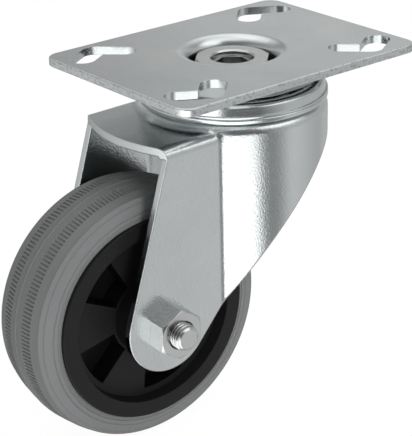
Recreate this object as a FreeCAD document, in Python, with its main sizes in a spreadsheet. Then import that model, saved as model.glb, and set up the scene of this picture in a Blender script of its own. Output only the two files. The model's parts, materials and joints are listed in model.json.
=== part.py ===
import FreeCAD, Part

import math
import os

import Sketcher
from FreeCAD import Placement, Rotation, Vector

# Swivel castor, 100 mm wheel. The origin is on the swivel axis at the top face of the plate, +Z up.
# X runs along the plate's long side and the wheel trails towards -X. Heights below are depths under
# the plate's top face, lengths are in millimetres and angles in degrees.

SIZES = (
    # top plate
    ("plate_long", 114.0, "plate along X"),
    ("plate_wide", 84.0, "plate along Y"),
    ("plate_thick", 3.2, "plate sheet"),
    ("plate_corner", 6.0, "corner radius of the plate"),
    ("plate_edge", 0.6, "softened edge of the plate"),
    ("slot_width", 9.7, "width of the V-shaped fixing slots"),
    ("slot_edge_x", 18.3, "plate's short edge to the point of the V, at the centre of its round"),
    ("slot_edge_y", 8.0, "plate's long edge to the point of the V, at the centre of its round"),
    ("slot_near_x", 7.7, "inner arm of the V along X"),
    ("slot_near_y", 7.6, "inner arm of the V along Y"),
    ("slot_far_x", 9.9, "outer arm of the V along X"),
    ("slot_far_y", 6.0, "outer arm of the V along Y"),
    ("dish_bend", 5.0, "outer bend where the plate turns down into the dish"),
    ("dish_foot", 2.0, "outer bend at the foot of the dish"),
    ("dish_gap", 0.4, "room round the king nut's corners"),
    # king bolt and nut
    ("king_thread", 16.0, "thread of the king bolt"),
    ("king_nut_flats", 27.0, "king nut across flats"),
    ("king_nut_height", 8.0, "king nut"),
    ("king_nut_sink", 2.8, "king nut's top face under the plate's"),
    ("king_nut_turn", -16.0, "where a corner of the king nut points"),
    ("king_end_sink", 2.1, "bolt's end under the nut's top face"),
    ("king_shoulder", 22.0, "thick part of the king bolt"),
    ("king_head_flats", 24.0, "king bolt head across flats"),
    ("king_head_height", 6.0, "king bolt head"),
    ("socket_flats", 12.0, "hexagon socket in the bolt's end"),
    ("socket_depth", 6.0, "hexagon socket in the bolt's end"),
    ("socket_turn", 20.6, "where a corner of the socket points"),
    ("thread_gap", 0.05, "between a thread and its nut"),
    ("nut_bevel", 0.6, "bevel on the corners and mouth of the nuts"),
    # swivel head
    ("head_radius", 36.0, "lip of the crown ring and the hood below it"),
    ("upper_race_radius", 34.2, "fixed upper race"),
    ("upper_race_height", 4.8, "fixed upper race"),
    ("race_sheet", 2.0, "skirt of the upper race"),
    ("race_gap", 2.0, "open gap between the races"),
    ("lower_race_height", 5.2, "turning lower race"),
    ("lower_race_sheet", 2.8, "flat of the lower race"),
    ("lower_race_round", 2.2, "rounded shoulder of the lower race"),
    ("lower_race_flare", 0.9, "how far the lower race widens to its lip"),
    ("lip_height", 0.8, "thin lip at the foot of the lower race"),
    ("crown_ring_thick", 2.2, "ring between the lower race and the crown"),
    ("boss_gap", 0.5, "between the dish and the rings round it"),
    ("ball", 6.35, "swivel balls"),
    ("ball_gap", 0.05, "between a ball and its races"),
    ("upper_pitch", 27.2, "radius of the upper ball row"),
    ("lower_pitch", 20.4, "radius of the lower ball row"),
    ("upper_balls", 16, "number in the upper row"),
    ("lower_balls", 12, "number in the lower row"),
    ("groove_depth", 1.1, "how deep a ball sits in a groove"),
    ("cage_thick", 3.2, "ball cages"),
    ("cage_margin", 3.4, "ball cage beyond the pitch circle on each side"),
    ("cage_play", 0.15, "between a ball and its hole in the cage"),
    ("king_washer_radius", 25.5, "cup under the crown"),
    ("king_washer_thick", 3.5, "cup under the crown"),
    ("washer_gap", 0.05, "between the washer and the king bolt"),
    # fork
    ("fork_turn", -3.3, "how the fork stands turned from the plate's long side"),
    ("fork_sheet", 3.0, "sheet of the fork"),
    ("fork_wide", 52.0, "over the two legs"),
    ("fork_bend", 4.0, "outer bend from crown to leg"),
    ("hood_bend", 4.0, "outer bend from crown to hood"),
    ("crease_round", 4.0, "hollow round where a leg meets the hood"),
    ("crease_inside", 2.5, "round of the ridge on the inside of that crease"),
    ("crown_step", 1.7, "raised seat of the crown over its flat, at the swivel axis"),
    ("crown_fall", 2.1, "how steeply the flat of the crown falls to the front"),
    ("crown_hole", 26.0, "hole round the king bolt"),
    ("crown_front", 55.2, "front edge of the crown in the middle"),
    ("leg_front", 48.8, "front edge of the leg at its bend"),
    ("leg_end_radius", 17.4, "rounded end of the leg"),
    ("hood_low_x", -24.9, "where the leg's rear edge meets the hood"),
    ("hood_low_z", -87.3, "where the leg's rear edge meets the hood"),
    ("hood_mid_x", 10.5, "point on the hood's lower edge"),
    ("hood_mid_z", -43.8, "point on the hood's lower edge"),
    ("hood_rear_z", -26.6, "hood's lower edge at the rear"),
    ("hood_low_sweep", 205.0, "radius of the lower edge, first part"),
    ("hood_high_sweep", 75.0, "radius of the lower edge, second part"),
    # axle
    ("offset", 50.2, "axle behind the swivel axis"),
    ("axle_drop", 90.4, "axle under the plate's top face"),
    ("axle_thread", 10.0, "axle bolt"),
    ("axle_play", 0.15, "axle bolt in the sleeve and the legs"),
    ("axle_flats", 17.0, "axle nut and bolt head across flats"),
    ("axle_nut_height", 8.0, "axle nut"),
    ("axle_nut_turn", 27.0, "where a corner of the axle nut points"),
    ("axle_head_height", 6.4, "axle bolt head"),
    ("axle_end", 4.4, "axle bolt past its nut"),
    ("sleeve_wall", 1.85, "steel sleeve round the axle bolt"),
    # hub bearing
    ("roller", 4.0, "bearing rollers"),
    ("roller_count", 10, "bearing rollers"),
    ("roller_gap", 0.03, "between a roller and its tracks"),
    ("roller_cage_wall", 1.2, "roller cage"),
    ("roller_cage_inset", 3.7, "roller cage inside the hub's end"),
    ("roller_inset", 3.0, "rollers inside the cage's end"),
    ("shell_wall", 1.5, "bearing shell pressed in the hub"),
    ("shell_inset", 0.7, "bearing shell inside the hub's end"),
    ("cap_radius", 13.6, "hub caps"),
    ("cap_thick", 2.0, "hub caps"),
    ("cap_gap", 0.3, "between the caps and the hub"),
    # wheel
    ("wheel_radius", 50.0, "tyre at its crown"),
    ("tyre_wide", 31.0, "tyre"),
    ("tread_edge", 10.0, "half width of the tread"),
    ("tread_drop", 1.0, "how far the tread falls to its edge"),
    ("shoulder_drop", 7.0, "shoulder of the tyre along the radius"),
    ("shoulder_round", 6.4, "radius of the shoulder"),
    ("side_taper", 0.3, "tyre side falls in towards the rim"),
    ("rim_radius", 39.8, "flange of the rim"),
    ("rim_wide", 34.0, "over the rim's flanges"),
    ("flange_wide", 2.6, "rim flange along the axle"),
    ("flange_inner", 33.7, "inner edge of the flange's flat"),
    ("flange_draft", 0.7, "slope of the flange's inner wall"),
    ("flange_edge", 0.5, "softened edge of the rim flange"),
    ("seat_radius", 36.5, "tyre seat on the rim"),
    ("web_wide", 24.0, "over the raised spokes of the rim"),
    ("pocket_floor", 6.0, "rim disc between the pockets of both sides"),
    ("pocket_inner", 15.4, "pockets of the rim"),
    ("pocket_outer", 30.8, "pockets of the rim"),
    ("pocket_angle", 33.5, "width of a pocket"),
    ("pocket_turn", 137.5, "where the first pocket points, from the front"),
    ("pocket_count", 5, "pockets on each side"),
    ("hub_radius", 14.6, "hub of the rim"),
)


class Size:
    """A number that also knows how it follows from the cells of the sheet."""

    def __init__(self, value, text):
        self.value = float(value)
        self.text = text

    def joined(self, other, sign, value):
        return Size(value, "(%s %s %s)" % (self.text, sign, other.text))

    def __add__(self, other):
        other = size(other)
        return self.joined(other, "+", self.value + other.value)

    def __sub__(self, other):
        other = size(other)
        return self.joined(other, "-", self.value - other.value)

    def __mul__(self, other):
        other = size(other)
        return self.joined(other, "*", self.value * other.value)

    def __truediv__(self, other):
        other = size(other)
        return self.joined(other, "/", self.value / other.value)

    def __rsub__(self, other):
        return size(other) - self

    def __rmul__(self, other):
        return size(other) * self

    def __neg__(self):
        return Size(-self.value, "(0 - %s)" % self.text)


def size(number):
    """Gives a plain number the form of a size."""
    if isinstance(number, Size):
        return number
    return Size(number, repr(number))


def root(number):
    return Size(math.sqrt(number.value), "sqrt(%s)" % number.text)


def cosine(angle):
    return Size(math.cos(math.radians(angle.value)), "cos(%s)" % angle.text)


def sine(angle):
    return Size(math.sin(math.radians(angle.value)), "sin(%s)" % angle.text)


def tangent(angle):
    return Size(math.tan(math.radians(angle.value)), "tan(%s)" % angle.text)


def make_sheet(doc):
    """Writes the driving dimensions to a sheet and returns them by name."""
    sheet = doc.addObject("Spreadsheet::Sheet", "sizes")
    named = {}
    for row, (name, value, note) in enumerate(SIZES, start=1):
        sheet.set("A%d" % row, note)
        sheet.set("B%d" % row, str(value))
        sheet.setAlias("B%d" % row, name)
        named[name] = Size(value, "sizes." + name)
    doc.recompute()
    return named


def bind(thing, path, value):
    """Binds a property of an object to a size."""
    thing.setExpression(path, size(value).text)


def origin_part(body, role):
    return next(part for part in body.Origin.OriginFeatures if part.Role == role)


def make_sketch(body, role, name, lift=None, tip=None):
    """A sketch on one of the body's own planes, lifted along its normal or tipped about its X."""
    sketch = body.newObject("Sketcher::SketchObject", name)
    sketch.AttachmentSupport = [(origin_part(body, role), "")]
    sketch.MapMode = "FlatFace"
    if lift is not None:
        bind(sketch, "AttachmentOffset.Base.z", lift)
    if tip is not None:
        sketch.setExpression("AttachmentOffset.Rotation", "rotationx(%s)" % size(tip).text)
    return sketch


def hold(sketch, geometry, position, x, y):
    """Holds a point of a sketch at x, y."""
    for kind, axis, value in (("DistanceX", -2, size(x)), ("DistanceY", -1, size(y))):
        if value.text == "0":
            sketch.addConstraint(Sketcher.Constraint("PointOnObject", geometry, position, axis))
        else:
            index = sketch.addConstraint(
                Sketcher.Constraint(kind, -1, 1, geometry, position, value.value))
            sketch.setExpression("Constraints[%d]" % index, value.text)


def arc_between(start, end, radius):
    """Arc of less than half a turn; a positive radius turns left on the way from start to end."""
    chord = end - start
    middle = (start + end) * 0.5
    height = math.sqrt(max(radius * radius - chord.Length ** 2 / 4, 0.0))
    left = Vector(-chord.y, chord.x, 0).normalize()
    centre = middle + left * math.copysign(height, radius)
    first, last = (start, end) if radius > 0 else (end, start)
    angles = [math.atan2(point.y - centre.y, point.x - centre.x) for point in (first, last)]
    if angles[1] < angles[0]:
        angles[1] += 2 * math.pi
    circle = Part.Circle(centre, Vector(0, 0, 1), abs(radius))
    return Part.ArcOfCircle(circle, angles[0], angles[1])


def outline(sketch, *corners):
    """Closed outline. A corner is (x, y), or (x, y, radius) where an arc leads on to the next one."""
    points = [Vector(size(corner[0]).value, size(corner[1]).value, 0) for corner in corners]
    ends = []
    for index, corner in enumerate(corners):
        here, there = points[index], points[(index + 1) % len(points)]
        if len(corner) == 2:
            geometry = sketch.addGeometry(Part.LineSegment(here, there))
            ends.append((geometry, 1, 2))
        else:
            radius = size(corner[2])
            geometry = sketch.addGeometry(arc_between(here, there, radius.value))
            ends.append((geometry, 1, 2) if radius.value > 0 else (geometry, 2, 1))
    for index, corner in enumerate(corners):
        geometry, start, _ = ends[index]
        before, _, stop = ends[index - 1]
        chord = (points[(index + 1) % len(points)] - points[index]).Length
        half_turn = len(corner) == 3 and chord > 1.999 * abs(size(corner[2]).value)
        joint = "Tangent" if half_turn else "Coincident"
        sketch.addConstraint(Sketcher.Constraint(joint, before, stop, geometry, start))
        hold(sketch, geometry, start, corner[0], corner[1])
        if len(corner) == 3 and not half_turn:
            radius = size(corner[2])
            turned = radius if radius.value > 0 else -radius
            dimension = Sketcher.Constraint("Radius", geometry, turned.value)
            sketch.setExpression("Constraints[%d]" % sketch.addConstraint(dimension), turned.text)


def circle(sketch, x, y, radius):
    centre = Vector(size(x).value, size(y).value, 0)
    geometry = sketch.addGeometry(Part.Circle(centre, Vector(0, 0, 1), size(radius).value))
    hold(sketch, geometry, 3, x, y)
    index = sketch.addConstraint(Sketcher.Constraint("Radius", geometry, size(radius).value))
    sketch.setExpression("Constraints[%d]" % index, size(radius).text)


def hexagon(sketch, flats):
    """Hexagon about the origin with a corner on the x axis."""
    corner = flats / root(size(3))
    side = flats / 2
    outline(sketch, (corner, 0), (corner / 2, side), (-(corner / 2), side),
            (-corner, 0), (-(corner / 2), -side), (corner / 2, -side))


def slot(sketch, x1, y1, x2, y2, width):
    """Straight slot between two centres."""
    run_x, run_y = x2 - x1, y2 - y1
    length = root(run_x * run_x + run_y * run_y)
    half = width / 2
    side_x, side_y = -(run_y / length) * half, run_x / length * half
    outline(sketch, (x1 - side_x, y1 - side_y), (x2 - side_x, y2 - side_y, half),
            (x2 + side_x, y2 + side_y), (x1 + side_x, y1 + side_y, half))


def pad(body, sketch, length, middle=False, turned=False):
    """Adds material from a sketch, along its normal or the other way when turned."""
    feature = body.newObject("PartDesign::Pad", sketch.Label + "_pad")
    feature.Profile = sketch
    feature.Midplane = middle
    feature.Reversed = turned
    bind(feature, "Length", length)
    return feature


def pocket(body, sketch, length=None, middle=False, turned=False):
    """Cuts a sketch out against its normal, along it when turned, or right through."""
    feature = body.newObject("PartDesign::Pocket", sketch.Label + "_pocket")
    feature.Profile = sketch
    feature.Midplane = middle
    feature.Reversed = turned
    if length is None:
        feature.Type = "ThroughAll"
    else:
        bind(feature, "Length", length)
    return feature


def spin(body, sketch, kind="Revolution"):
    """Full turn of a sketch about its own upright axis."""
    feature = body.newObject("PartDesign::" + kind, sketch.Label + "_" + kind.lower())
    feature.Profile = sketch
    feature.ReferenceAxis = (sketch, ["V_Axis"])
    feature.Angle = 360
    return feature


def repeat(body, features, axis, count):
    """Polar pattern round one of the body's axes, with the count from the sheet."""
    feature = body.newObject("PartDesign::PolarPattern", features[0].Label + "_pattern")
    feature.Originals = features
    feature.Axis = (origin_part(body, axis), [""])
    feature.Angle = 360
    bind(feature, "Occurrences", count)
    body.Tip = feature
    return feature


def mirror_both_ways(body, features, name):
    """Mirrors features over the body's two upright planes, so that there are four of each."""
    mirrors = []
    for role in ("YZ_Plane", "XZ_Plane"):
        mirror = body.newObject("PartDesign::Mirrored", name + "_over_" + role)
        mirror.MirrorPlane = (origin_part(body, role), [""])
        mirrors.append(mirror)
    feature = body.newObject("PartDesign::MultiTransform", name)
    feature.Originals = features
    feature.Transformations = mirrors
    body.Tip = feature
    return feature


def make_body(doc, name):
    body = doc.addObject("PartDesign::Body", name)
    body.Label = name
    return body


def turned_body(doc, name, sections):
    """Body of full turns: each section is a list of outline corners, and a Groove cuts."""
    body = make_body(doc, name)
    for number, (kind, corners) in enumerate(sections, start=1):
        sketch = make_sketch(body, "XZ_Plane", "%s_section_%d" % (name, number))
        outline(sketch, *corners)
        spin(body, sketch, kind)
    return body


def top_plate(doc, s, z):
    """Rounded rectangle of sheet, pressed down in the middle to sink the king nut, with four V slots."""
    body = make_body(doc, "top_plate")
    x, y, round_off = s["plate_long"] / 2, s["plate_wide"] / 2, s["plate_corner"]
    sheet = make_sketch(body, "XY_Plane", "plate_outline")
    outline(sheet, (x - round_off, -y, round_off), (x, -y + round_off),
            (x, y - round_off, round_off), (x - round_off, y),
            (-x + round_off, y, round_off), (-x, y - round_off),
            (-x, -y + round_off, round_off), (-x + round_off, -y))
    plate = pad(body, sheet, s["plate_thick"], turned=True)
    doc.recompute()
    flats = [name for name, face in named_faces(plate) if abs(face.normalAt(0, 0).z) > 0.9]
    soft = body.newObject("PartDesign::Fillet", "plate_edges")
    soft.Base = (plate, flats)
    bind(soft, "Radius", s["plate_edge"])

    thick, bend, foot = s["plate_thick"], s["dish_bend"], s["dish_foot"]
    wall, lip, floor = z["dish_radius"], z["dish_lip"], z["nut_seat"]
    bore = s["king_thread"] / 2 + s["thread_gap"]
    boss = make_sketch(body, "XZ_Plane", "dish_outside")
    outline(boss, (bore, -thick), (lip, -thick, bend - thick), (wall + thick, -bend),
            (wall + thick, floor - thick + foot, -foot), (wall + thick - foot, floor - thick),
            (bore, floor - thick))
    spin(body, boss)
    dish = make_sketch(body, "XZ_Plane", "dish_inside")
    outline(dish, (0, thick), (lip, thick), (lip, 0, bend), (wall, -bend), (wall, floor),
            (bore, floor), (bore, floor - 2 * thick), (0, floor - 2 * thick))
    spin(body, dish, "Groove")

    tip_x, tip_y = x - s["slot_edge_x"], y - s["slot_edge_y"]
    ends = ((tip_x - s["slot_near_x"], tip_y - s["slot_near_y"]),
            (tip_x + s["slot_far_x"], tip_y - s["slot_far_y"]))
    arms = []
    for name, (end_x, end_y) in zip(("near", "far"), ends):
        sketch = make_sketch(body, "XY_Plane", "slot_" + name)
        slot(sketch, end_x, end_y, tip_x, tip_y, s["slot_width"])
        arms.append(pocket(body, sketch, 4 * thick, middle=True))
    mirror_both_ways(body, arms, "slots")
    return body


def named_faces(feature):
    return [("Face%d" % number, face) for number, face in enumerate(feature.Shape.Faces, start=1)]


def hexagon_nut(doc, name, flats, height, bore, bevel):
    """Nut standing on its own XY plane, bevelled at the corners and at the mouth of the bore."""
    body = make_body(doc, name)
    prism = make_sketch(body, "XY_Plane", name + "_flats")
    hexagon(prism, flats)
    pad(body, prism, height)
    corner = flats / root(size(3))
    far = corner * 2
    fall = (far - flats / 2) / 2
    shave = make_sketch(body, "XZ_Plane", name + "_corners")
    outline(shave, (flats / 2, height), (far, height - fall), (far, height * 2),
            (flats / 2, height * 2))
    spin(body, shave, "Groove")
    hole = make_sketch(body, "XZ_Plane", name + "_bore")
    outline(hole, (0, -bevel), (bore, -bevel), (bore, height - bevel),
            (bore + bevel, height), (bore + bevel, height * 2), (0, height * 2))
    spin(body, hole, "Groove")
    return body


def king_bolt(doc, s, z):
    """Head under the washer, thick shoulder up to the dish and a threaded end with a socket."""
    body = make_body(doc, "king_bolt")
    head = make_sketch(body, "XY_Plane", "king_head", z["king_head_top"])
    hexagon(head, s["king_head_flats"])
    pad(body, head, s["king_head_height"], turned=True)
    thread, shoulder, bevel = s["king_thread"] / 2, s["king_shoulder"] / 2, s["nut_bevel"]
    shank = make_sketch(body, "XZ_Plane", "king_shank")
    outline(shank, (0, z["king_head_top"]), (shoulder, z["king_head_top"]),
            (shoulder, z["dish_under"]), (thread, z["dish_under"]),
            (thread, z["king_end"] - bevel), (thread - bevel, z["king_end"]), (0, z["king_end"]))
    spin(body, shank)
    key = make_sketch(body, "XY_Plane", "king_socket", z["king_end"])
    hexagon(key, s["socket_flats"])
    pocket(body, key, s["socket_depth"])
    return body


def ball_groove(s, pitch, level, outward, above):
    """Corners of a ball groove in a flat: which way the outline runs, and where its balls are."""
    reach = s["ball"] / 2 + s["ball_gap"]
    half = root(reach * reach - (reach - s["groove_depth"]) * (reach - s["groove_depth"]))
    way = 1 if outward else -1
    side = 1 if above else -1
    return (pitch - way * half, level, way * side * reach), (pitch + way * half, level)


def swivel_rings(doc, s, z):
    """The fixed race under the plate, and the race and ring that turn with the fork."""
    outer, sheet, edge = s["upper_race_radius"], s["race_sheet"], s["plate_edge"]
    top, flat, foot = z["plate_under"], z["upper_flat"], z["upper_race_foot"]
    inner = z["dish_lip"] + s["boss_gap"]
    groove = ball_groove(s, s["upper_pitch"], flat, outward=True, above=False)
    turned_body(doc, "upper_race", [("Revolution", [
        (inner, top), (inner, flat), *groove,
        (outer - sheet, flat), (outer - sheet, foot), (outer - edge, foot, edge),
        (outer, foot + edge), (outer, top)])])

    shoulder, flare = s["lower_race_round"], s["lower_race_flare"]
    top, foot = z["lower_race_top"], z["lower_race_foot"]
    lip = s["head_radius"] - s["thread_gap"]
    neck = lip - flare
    skirt = neck - s["lower_race_sheet"]
    under = top - s["lower_race_sheet"]
    groove = ball_groove(s, s["upper_pitch"], top, outward=False, above=True)
    turned_body(doc, "lower_race", [("Revolution", [
        (inner, under), (skirt, under), (skirt, foot), (lip, foot),
        (lip, foot + s["lip_height"]), (neck + flare / 3, foot + s["lip_height"]),
        (neck, top - shoulder, shoulder), (neck - shoulder, top),
        *groove, (inner, top)])])

    top, foot, edge = z["lower_race_foot"], z["crown_top"], s["crown_ring_thick"] / 3
    rim = s["head_radius"]
    turned_body(doc, "crown_ring", [("Revolution", [
        (inner, foot), (rim - edge, foot, edge), (rim, foot + edge),
        (rim, top - edge, edge), (rim - edge, top), (inner, top)])])


def king_washer(doc, s, z):
    """Cup under the crown that the lower ball row runs in, held up by the king bolt's head."""
    bore = s["king_shoulder"] / 2 + s["washer_gap"]
    top, under, rim = z["washer_top"], z["king_head_top"], s["king_washer_radius"]
    groove = ball_groove(s, s["lower_pitch"], top, outward=False, above=True)
    turned_body(doc, "king_washer", [("Revolution", [
        (bore, under), (rim, under), (rim, top), *groove, (bore, top)])])


def ball_row(doc, s, name, pitch, level, count):
    """Row of separate balls, as one group."""
    body = make_body(doc, name)
    body.AllowCompound = True
    ball = body.newObject("PartDesign::AdditiveSphere", name + "_ball")
    ball.AttachmentSupport = [(origin_part(body, "XY_Plane"), "")]
    ball.MapMode = "FlatFace"
    bind(ball, "Radius", s["ball"] / 2)
    bind(ball, "AttachmentOffset.Base.x", pitch)
    bind(ball, "AttachmentOffset.Base.z", level)
    repeat(body, [ball], "Z_Axis", count)
    return body


def ball_cage(doc, s, name, pitch, level, count):
    """Flat ring with a hole for each ball."""
    body = make_body(doc, name)
    half = s["cage_thick"] / 2
    ring = make_sketch(body, "XY_Plane", name + "_ring", level - half)
    circle(ring, 0, 0, pitch + s["cage_margin"])
    circle(ring, 0, 0, pitch - s["cage_margin"])
    pad(body, ring, s["cage_thick"])
    hole = make_sketch(body, "XY_Plane", name + "_hole", level + half)
    circle(hole, pitch, 0, s["ball"] / 2 + s["cage_play"])
    repeat(body, [pocket(body, hole, s["cage_thick"])], "Z_Axis", count)
    return body


def fork(doc, s, z):
    """One pressed sheet: two flat legs, a stepped crown and a round hood, all of one thickness."""
    body = make_body(doc, "fork")
    half, sheet, bend = s["fork_wide"] / 2, s["fork_sheet"], s["fork_bend"]
    crown, front, seat = z["crown_flat"], z["fork_reach"], z["crown_top"]
    low, fall = z["fork_low"], -s["crown_fall"]

    # the legs and the crown's flat front, as a long channel over the front half
    channel = make_sketch(body, "YZ_Plane", "channel_outside", tip=fall)
    outline(channel, (-half, low), (half, low), (half, crown - bend, bend), (half - bend, crown),
            (-half + bend, crown, bend), (-half, crown - bend))
    pad(body, channel, front, turned=True)

    # the hood and the raised seat, turned about the swivel axis
    hood, round_off = s["head_radius"], s["hood_bend"]
    drum = make_sketch(body, "XZ_Plane", "drum_outside")
    outline(drum, (0, low), (hood, low), (hood, seat - round_off, round_off),
            (hood - round_off, seat), (0, seat))
    outside = spin(body, drum)
    round_creases(doc, body, outside, "crease_outside", half, s["crease_round"])

    # both inside forms, one sheet thickness in
    inner_bend = bend - sheet
    inside = make_sketch(body, "YZ_Plane", "channel_inside", tip=fall)
    outline(inside, (-half + sheet, low * 2), (half - sheet, low * 2),
            (half - sheet, crown - bend, inner_bend), (half - bend, crown - sheet),
            (-half + bend, crown - sheet, inner_bend), (-half + sheet, crown - bend))
    pocket(body, inside, front * 2)
    inner_round = round_off - sheet
    under = seat - sheet
    hollow = make_sketch(body, "XZ_Plane", "drum_inside")
    outline(hollow, (0, low * 2), (hood - sheet, low * 2),
            (hood - sheet, seat - round_off, inner_round), (hood - round_off, under),
            *ball_groove(s, s["lower_pitch"], under, outward=False, above=False), (0, under))
    cavity = spin(body, hollow, "Groove")
    round_creases(doc, body, cavity, "crease_inside", half - sheet, s["crease_inside"])

    trim_fork(body, s, z)
    return body


def round_creases(doc, body, feature, name, side, radius):
    """Rounds the two upright creases where the legs' faces, at +side and -side, meet the hood."""
    doc.recompute()
    creases = []
    for number, edge in enumerate(feature.Shape.Edges, start=1):
        box = edge.BoundBox
        upright = box.ZLength > side.value / 2 and box.XLength + box.YLength < 1e-5
        if upright and box.XMin < 0 and abs(abs(box.YMin) - side.value) < 1e-4:
            creases.append("Edge%d" % number)
    crease = body.newObject("PartDesign::Fillet", name)
    crease.Base = (feature, creases)
    bind(crease, "Radius", radius)
    body.Tip = crease


def trim_fork(body, s, z):
    """Cuts the side outline, the swept front of the crown and the holes."""
    far = z["fork_reach"] * 2
    start_x, start_z, end_x, end_z = leg_tangents(s, z)
    front, bend_foot = -s["leg_front"], z["crown_front_top"] - s["fork_bend"]
    rear = s["head_radius"] + s["fork_sheet"]
    side = make_sketch(body, "XZ_Plane", "side_outline")
    outline(side, (-far, -far), (far, -far), (far, far), (-far, far))
    outline(side, (start_x, start_z, s["leg_end_radius"]), (end_x, end_z),
            (s["hood_low_x"], s["hood_low_z"], -s["hood_low_sweep"]),
            (s["hood_mid_x"], s["hood_mid_z"], -s["hood_high_sweep"]),
            (rear, s["hood_rear_z"]), (rear, 0), (-far / 2, 0), (-far / 2, bend_foot),
            (front, bend_foot))
    pocket(body, side, far, middle=True)

    half, bulge = s["fork_wide"] / 2, s["crown_front"] - s["leg_front"]
    sweep = (half * half + bulge * bulge) / (2 * bulge)
    edge = make_sketch(body, "XY_Plane", "crown_front_edge")
    outline(edge, (-far, -far), (front, -far), (front, -half, -sweep), (front, half),
            (front, far), (-far, far))
    pocket(body, edge, -bend_foot)

    holes = make_sketch(body, "XY_Plane", "king_hole")
    circle(holes, 0, 0, s["crown_hole"] / 2)
    pocket(body, holes, -z["crown_top"] + 2 * s["fork_sheet"] + s["crown_step"])
    axle = make_sketch(body, "XZ_Plane", "axle_hole")
    circle(axle, -s["offset"], -s["axle_drop"], s["axle_thread"] / 2 + s["axle_play"])
    pocket(body, axle, far, middle=True)


def leg_tangents(s, z):
    """Where the leg's front and rear edges touch its rounded end: front x, z and rear x, z."""
    centre_x, centre_z, radius = -s["offset"], -s["axle_drop"], s["leg_end_radius"]
    found = []
    corners = ((-s["leg_front"], z["crown_front_top"] - s["fork_bend"], -1),
               (s["hood_low_x"], s["hood_low_z"], 1))
    for x, level, side in corners:
        run_x, run_z = centre_x - x, centre_z - level
        square = run_x * run_x + run_z * run_z
        along = root(square - radius * radius)
        found.append(x + (run_x * along - side * run_z * radius) * along / square)
        found.append(level + (run_z * along + side * run_x * radius) * along / square)
    return found


def axle_parts(doc, s, z):
    """Bolt, nut, clamped sleeve and hub caps, each about its own Z axis, laid along the axle after."""
    half = s["fork_wide"] / 2
    bolt = make_body(doc, "axle_bolt")
    head = make_sketch(bolt, "XY_Plane", "axle_head", half)
    hexagon(head, s["axle_flats"])
    pad(bolt, head, s["axle_head_height"])
    thread, bevel = s["axle_thread"] / 2, s["nut_bevel"]
    shank = make_sketch(bolt, "XZ_Plane", "axle_shank")
    end = -half - s["axle_nut_height"] - s["axle_end"]
    outline(shank, (0, half), (0, end), (thread - bevel, end), (thread, end + bevel),
            (thread, half))
    spin(bolt, shank)
    hexagon_nut(doc, "axle_nut", s["axle_flats"], s["axle_nut_height"],
                thread + s["thread_gap"], s["nut_bevel"])

    inner, gap = half - s["fork_sheet"], thread + s["axle_play"]
    turned_body(doc, "axle_sleeve", [("Revolution", [
        (gap, -inner), (z["sleeve_radius"], -inner), (z["sleeve_radius"], inner), (gap, inner)])])
    bore = z["sleeve_radius"] + s["washer_gap"]
    for name, side in (("hub_cap_left", 1), ("hub_cap_right", -1)):
        near, far = side * (inner - s["cap_thick"]), side * inner
        turned_body(doc, name, [("Revolution", [
            (bore, near), (s["cap_radius"], near), (s["cap_radius"], far), (bore, far)])])


def hub_bearing(doc, s, z):
    """Rollers in their cage, between the sleeve and the shell in the hub."""
    rollers = make_body(doc, "bearing_rollers")
    rollers.AllowCompound = True
    roller = make_sketch(rollers, "XY_Plane", "roller_round")
    circle(roller, z["roller_pitch"], 0, s["roller"] / 2)
    row = pad(rollers, roller, 2 * z["roller_half"], middle=True)
    repeat(rollers, [row], "Z_Axis", s["roller_count"])

    body = make_body(doc, "roller_cage")
    wall = s["roller_cage_wall"] / 2
    ring = make_sketch(body, "XY_Plane", "cage_ring")
    circle(ring, 0, 0, z["roller_pitch"] + wall)
    circle(ring, 0, 0, z["roller_pitch"] - wall)
    pad(body, ring, 2 * z["cage_half"], middle=True)
    window = make_sketch(body, "YZ_Plane", "cage_window", z["roller_pitch"] + s["roller"])
    wide, high = s["roller"] / 2 + s["cage_play"], z["roller_half"] + s["cage_play"]
    outline(window, (-wide, -high), (wide, -high), (wide, high), (-wide, high))
    repeat(body, [pocket(body, window, 2 * s["roller"])], "Z_Axis", s["roller_count"])

    bore, long = z["shell_bore"], z["hub_half"] - s["shell_inset"]
    turned_body(doc, "bearing_shell", [("Revolution", [
        (bore, -long), (bore + s["shell_wall"], -long), (bore + s["shell_wall"], long),
        (bore, long)])])


def wheel_rim(doc, s, z):
    """Moulded rim: hub, disc with pockets between raised spokes, and a flange on each side."""
    bore, hub, long = z["shell_bore"] + s["shell_wall"], s["hub_radius"], z["hub_half"]
    web, rim, flange = s["web_wide"] / 2, s["rim_wide"] / 2, s["flange_wide"]
    inner, outer, seat, edge = s["flange_inner"], s["rim_radius"], s["seat_radius"], s["flange_edge"]
    foot = inner - s["flange_draft"]
    body = turned_body(doc, "wheel_rim", [("Revolution", [
        (bore, -long), (hub, -long), (hub, -web), (foot, -web), (inner, -rim),
        (outer - edge, -rim, edge), (outer, -rim + edge), (outer, -rim + flange),
        (seat, -rim + flange), (seat, rim - flange), (outer, rim - flange),
        (outer, rim - edge, edge), (outer - edge, rim), (inner, rim), (foot, web), (hub, web),
        (hub, long), (bore, long)])])
    half_angle = s["pocket_angle"] / 2
    near, far = s["pocket_inner"], s["pocket_outer"]
    across, up = cosine(half_angle), sine(half_angle)
    for side, lift in (("left", s["pocket_floor"] / 2), ("right", -(s["pocket_floor"] / 2))):
        sketch = make_sketch(body, "XY_Plane", "pocket_" + side, lift)
        outline(sketch, (near * across, -near * up), (far * across, -far * up, far),
                (far * across, far * up), (near * across, near * up, -near))
        cut = pocket(body, sketch, web, turned=side == "left")
        repeat(body, [cut], "Z_Axis", s["pocket_count"])
    return body


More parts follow.
